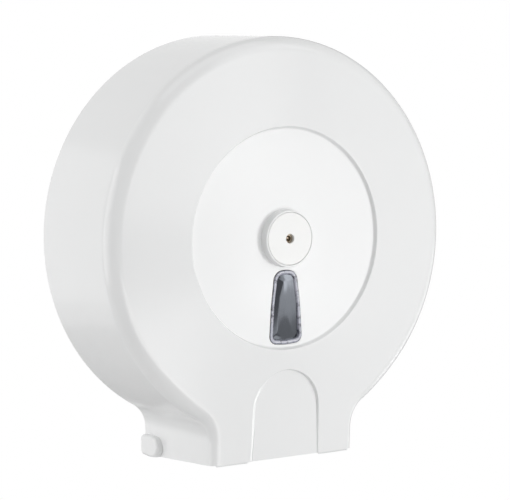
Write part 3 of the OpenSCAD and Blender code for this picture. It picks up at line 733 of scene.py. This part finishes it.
def relief(nodes, links, shader, patterns):
    """Chains bumps; patterns are (source, height in metres, strength)."""
    normal = None
    for source, height, strength in patterns:
        bump = nodes.new("ShaderNodeBump")
        bump.inputs["Distance"].default_value = height
        bump.inputs["Strength"].default_value = strength
        links.new(source, bump.inputs["Height"])
        if normal:
            links.new(normal, bump.inputs["Normal"])
        normal = bump.outputs["Normal"]
    links.new(normal, shader.inputs["Normal"])


# %% Plastics
def moulded_plastic(name, colour, roughness, wave=0.00012, grain=0.00001, vary=0.03):
    """Moulded plastic with polish marks, a soft waviness and a fine grain."""
    finish, nodes, links, shader, where = new_finish(name)
    cloud = noise(nodes, links, where, 14, 3)
    fine = noise(nodes, links, where, 900, 2)
    slow = noise(nodes, links, where, 7, 1)
    scuff = noise(nodes, links, where, 160, 4, (1, 1, 7))
    dull = tuple(c * (1 - vary) for c in colour)
    share = spread(nodes, links, cloud, 0, 1)
    links.new(tint(nodes, links, share, colour, dull), shader.inputs["Base Color"])
    rough = spread(nodes, links, scuff, roughness * 0.85, roughness * 1.2)
    links.new(rough, shader.inputs["Roughness"])
    relief(nodes, links, shader, [(slow, wave, 0.6), (fine, grain, 0.4)])
    shader.inputs["IOR"].default_value = 1.5
    return finish


cover_white = moulded_plastic("gloss_white_abs", (0.88, 0.885, 0.885), 0.16, vary=0.012)
cap_white = moulded_plastic("gloss_white_cap", (0.90, 0.90, 0.89), 0.22, vary=0.01)
plate_white = moulded_plastic("satin_white_plate", (0.84, 0.845, 0.84), 0.38, vary=0.03)
post_white = moulded_plastic("matt_white_acetal", (0.82, 0.82, 0.80), 0.5, vary=0.04)
hub_white = moulded_plastic("matt_ivory_acetal", (0.77, 0.77, 0.75), 0.48, vary=0.05)
dark_frame = moulded_plastic("matt_dark_frame", (0.035, 0.035, 0.04), 0.5, vary=0.2)
print("materials with the plastics:", len(bpy.data.materials))


# %% [markdown]
# ## Metals
# The small metal parts inside are zinc-plated, drawn, cast or turned, and each way leaves marks
# of its own size and direction. A stretched noise gives them, in the roughness and as a relief.

# %% Metals
def plated_metal(name, colour, roughness, grain_scale, stretch=(1, 1, 1)):
    """Plated or turned metal, with fine tool marks and a slightly uneven sheen."""
    finish, nodes, links, shader, where = new_finish(name)
    marks = noise(nodes, links, where, grain_scale, 3, stretch)
    cloud = noise(nodes, links, where, 90, 3)
    worn = tuple(c * 0.82 for c in colour)
    share = spread(nodes, links, cloud, 0, 1)
    links.new(tint(nodes, links, share, colour, worn), shader.inputs["Base Color"])
    links.new(spread(nodes, links, marks, roughness * 0.75, roughness * 1.3),
              shader.inputs["Roughness"])
    relief(nodes, links, shader, [(marks, 0.00002, 0.5)])
    shader.inputs["Metallic"].default_value = 1
    return finish


sheet_steel = plated_metal("zinc_plated_sheet", (0.66, 0.66, 0.68), 0.3, 300, (12, 1, 1))
washer_steel = plated_metal("zinc_plated_washer", (0.68, 0.68, 0.70), 0.34, 500)
pin_steel = plated_metal("drawn_steel_pin", (0.62, 0.62, 0.64), 0.24, 400, (1, 8, 8))
screw_steel = plated_metal("zinc_plated_screw", (0.60, 0.61, 0.64), 0.32, 700)
spring_steel = plated_metal("dark_spring_steel", (0.30, 0.30, 0.32), 0.36, 500)
housing_zinc = plated_metal("cast_zinc", (0.60, 0.60, 0.62), 0.4, 600)
barrel_brass = plated_metal("turned_brass", (0.47, 0.40, 0.31), 0.34, 800, (1, 6, 1))
print("materials with the metals:", len(bpy.data.materials))


# %% [markdown]
# ## The window's finishes
# The pane is so dark that nothing shows through it, so it is a near-black surface with a strong,
# faintly blue polish. The clear rim gathers light from all round, and its bevels show greys,
# lilacs and dark flecks. That gathered light is painted: a mottled colour under a clear coat
# stands in for it at its small size.


# %% The window's two finishes
def smoked_pane():
    """Smoke-grey polished plastic: nearly opaque, with a faint depth of tint."""
    finish, nodes, links, shader, where = new_finish("smoked_pane")
    cloud = noise(nodes, links, where, 40, 2)
    share = spread(nodes, links, cloud, 0, 1)
    links.new(tint(nodes, links, share, (0.004, 0.0045, 0.007), (0.007, 0.0075, 0.011)),
              shader.inputs["Base Color"])
    links.new(spread(nodes, links, noise(nodes, links, where, 300, 3), 0.08, 0.11),
              shader.inputs["Roughness"])
    relief(nodes, links, shader, [(cloud, 0.00005, 0.3)])
    shader.inputs["IOR"].default_value = 1.65
    shader.inputs["Specular Tint"].default_value = (0.84, 0.90, 1.0, 1.0)
    return finish


def clear_rim_painted_light():
    """The clear bevelled edge, with its gathered light painted as a mottled colour."""
    finish, nodes, links, shader, where = new_finish("clear_rim_painted_light")
    sparkle = noise(nodes, links, where, 420, 3)
    cloud = noise(nodes, links, where, 260, 2)
    share = spread(nodes, links, cloud, 0, 1, 0.50, 0.66)
    # painted light: the mottled grey-lilac and near-black colour stands in for light the clear
    # bevels refract and reflect
    links.new(tint(nodes, links, share, (0.31, 0.32, 0.39), (0.05, 0.05, 0.08)),
              shader.inputs["Base Color"])
    links.new(spread(nodes, links, sparkle, 0.05, 0.25), shader.inputs["Roughness"])
    relief(nodes, links, shader, [(sparkle, 0.0003, 0.6)])
    shader.inputs["Coat Weight"].default_value = 0.8
    return finish


# %% [markdown]
# ## Dressing the parts
# The parts modelled here get their finishes in material slots. The model's own parts keep their
# meshes, and every slot of theirs is filled with one finish.


# %% Giving the finishes to the parts
def dress(piece, *finishes):
    """Puts finishes into a piece's material slots."""
    slots = piece.data.materials
    indices = [face.material_index for face in piece.data.polygons]
    slots.clear()
    for finish in finishes:
        slots.append(finish)
    piece.data.polygons.foreach_set("material_index", [min(i, len(finishes) - 1) for i in indices])


dress(cover, cover_white)
dress(cap, cap_white)
dress(pane, smoked_pane(), clear_rim_painted_light())
node_finish = {
    "back_plate": plate_white, "spindle_post": post_white, "hub": hub_white,
    "window_retainer": dark_frame, "keeper_plate": sheet_steel, "lock_bar": sheet_steel,
    "hub_washer": washer_steel, "bar_washer": washer_steel, "hub_clip": spring_steel,
    "hinge_pin_left": pin_steel, "hinge_pin_right": pin_steel, "lock_housing": housing_zinc,
    "lock_nut": housing_zinc, "lock_barrel": barrel_brass, "spindle_screws": screw_steel,
    "keeper_screws": screw_steel, "window_screws": screw_steel, "bar_screw": screw_steel}
for node, finish in node_finish.items():
    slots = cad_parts[node].material_slots
    for material_slot in slots:
        material_slot.material = finish
print("finished parts of the model:", len(node_finish))

# %% [markdown]
# ## Floor, light and camera
# The object hangs on a wall, high over a plain pale floor, in soft studio light. The world gives
# an even base, and large soft panels shape it: a white case shows its form only through soft
# changes of light and through what its gloss reflects. A grey card behind the right side, which
# shows in reflections alone, draws the case's right edge, as a studio's flag does.


# %% Floor and card
def stage_piece(bm, name, paint_name, grey):
    """A plain matt piece of the studio, which isn't part of the object."""
    piece = to_object(bm, name)
    paint, nodes, links, shader, where = new_finish(paint_name)
    shader.inputs["Base Color"].default_value = (grey, grey, grey, 1)
    shader.inputs["Roughness"].default_value = 0.9
    piece.data.materials.append(paint)
    return piece


bm = bmesh.new()
bmesh.ops.create_circle(bm, cap_ends=True, segments=96, radius=1.65,
                        matrix=Matrix.Translation((0, 0, -0.9)))
stage_piece(bm, "floor", "pale_floor", 0.8)

bm = bmesh.new()
card_line = ((0.90, 1.25), (1.75, 0.20), (1.95, -0.55))
low, high = [[bm.verts.new((x, y, z)) for x, y in card_line] for z in (-0.8, 0.9)]
for i in range(len(card_line) - 1):
    bm.faces.new((low[i], low[i + 1], high[i + 1], high[i]))
edge_card = stage_piece(bm, "edge_card", "card_grey", 0.6)
edge_card.visible_camera = edge_card.visible_diffuse = False
edge_card.visible_shadow = edge_card.visible_transmission = False
print("studio pieces: floor, edge_card")

# %% World: an even room light, and a white backdrop for what is seen
ROOM_STRENGTH = 0.25
world = bpy.data.worlds.new("studio")
bpy.context.scene.world = world
world.use_nodes = True
tree = world.node_tree
room = tree.nodes["Background"]
room.inputs["Color"].default_value = (1, 1, 1, 1)
room.inputs["Strength"].default_value = ROOM_STRENGTH
backdrop = tree.nodes.new("ShaderNodeBackground")
backdrop.inputs["Color"].default_value = (1, 1, 1, 1)
path = tree.nodes.new("ShaderNodeLightPath")
mix = tree.nodes.new("ShaderNodeMixShader")
shown = path.outputs["Is Camera Ray"]
for ray in ("Is Glossy Ray", "Is Transmission Ray"):
    either = tree.nodes.new("ShaderNodeMath")
    either.operation = "MAXIMUM"
    tree.links.new(shown, either.inputs[0])
    tree.links.new(path.outputs[ray], either.inputs[1])
    shown = either.outputs[0]
tree.links.new(shown, mix.inputs[0])
tree.links.new(room.outputs[0], mix.inputs[1])
tree.links.new(backdrop.outputs[0], mix.inputs[2])
tree.links.new(mix.outputs[0], tree.nodes["World Output"].inputs["Surface"])
print("room light:", ROOM_STRENGTH)

# %% Light panels
MIDDLE = Vector((0, -0.06, 0))
CAMERA_PLACE = Vector((-0.9105, -1.4378, 0.1350))
WINDOW_MIDDLE = Vector((-0.0005, -0.1062, -0.044))
# The pane mirrors the camera to behind itself; a lamp on the line from there shows in the pane.
mirrored = Vector((CAMERA_PLACE.x, 2 * WINDOW_MIDDLE.y - CAMERA_PLACE.y, CAMERA_PLACE.z))
glint_place = WINDOW_MIDDLE + (WINDOW_MIDDLE - mirrored) * 0.58


def panel(name, place_at, aim, size, power):
    """A soft rectangular lamp at a place, turned towards a point."""
    data = bpy.data.lights.new(name, "AREA")
    data.shape = "RECTANGLE"
    data.size, data.size_y = size
    data.energy = power
    lamp = bpy.data.objects.new(name, data)
    lamp.location = place_at
    lamp.rotation_euler = (Vector(aim) - Vector(place_at)).to_track_quat("-Z", "Y").to_euler()
    bpy.context.scene.collection.objects.link(lamp)


panels = (
    # name, place, aim, size in metres, power in watts
    ("key_panel", (1.2, -1.7, 1.7), MIDDLE, (1.4, 1.4), 8.0),
    ("gloss_panel", (1.26, -1.8, -0.15), MIDDLE, (1.4, 1.7), 4.6),
    ("mirror_card", (0.563, -0.929, -0.083), (0, -0.107, 0), (0.30, 0.34), 0.76),
    ("front_panel", (0.3, -1.05, 0.25), MIDDLE, (0.6, 0.6), 1.7),
    ("low_panel", (0.16, -1.9, -0.75), MIDDLE, (1.4, 0.8), 9),
    ("top_panel", (0, -0.5, 2.3), MIDDLE, (2.2, 1.4), 11.4),
    ("rear_panel", (-1.9, 0.5, 0.2), MIDDLE, (1.2, 1.8), 14.6),
    ("rear_high_panel", (-1.2, 0.7, 1.2), MIDDLE, (1.2, 1.2), 3.4),
    ("left_strip", (-1.97, -0.35, 0.1), MIDDLE, (0.3, 1.6), 2.9),
    ("edge_strip", (1.5, -0.17, -0.56), (-0.03, -0.108, -0.15), (0.25, 0.76), 1.7),
    ("side_card", (-0.95, 1.44, 0.03), (-0.16, -0.06, 0), (0.8, 1.5), 1.7),
    ("window_glint", glint_place, WINDOW_MIDDLE, (0.045, 0.06), 0.045))
for setting in panels:
    panel(*setting)
print("light panels:", len(panels), "with", round(sum(setting[4] for setting in panels), 1), "W")

# %% Camera
VIEW_TURN, VIEW_DROP, VIEW_ROLL = 33.50, 5.12, -0.31     # degrees
FOCAL_PIXELS, IMAGE_WIDTH, SENSOR = 2000, 510, 36        # focal length in pixels, sensor in mm
camera_data = bpy.data.cameras.new("camera")
camera_data.sensor_width = SENSOR
camera_data.lens = SENSOR * FOCAL_PIXELS / IMAGE_WIDTH
camera = bpy.data.objects.new("camera", camera_data)
turn, drop = math.radians(VIEW_TURN), math.radians(VIEW_DROP)
look = Vector((math.sin(turn) * math.cos(drop), math.cos(turn) * math.cos(drop), -math.sin(drop)))
camera.location = CAMERA_PLACE
camera.rotation_mode = "QUATERNION"
camera.rotation_quaternion = look.to_track_quat("-Z", "Y") @ Matrix.Rotation(
    math.radians(VIEW_ROLL), 3, "Z").to_quaternion()
bpy.context.scene.collection.objects.link(camera)
bpy.context.scene.camera = camera
bpy.context.scene.view_settings.view_transform = "Standard"
print("camera lens:", round(camera_data.lens, 1), "mm")
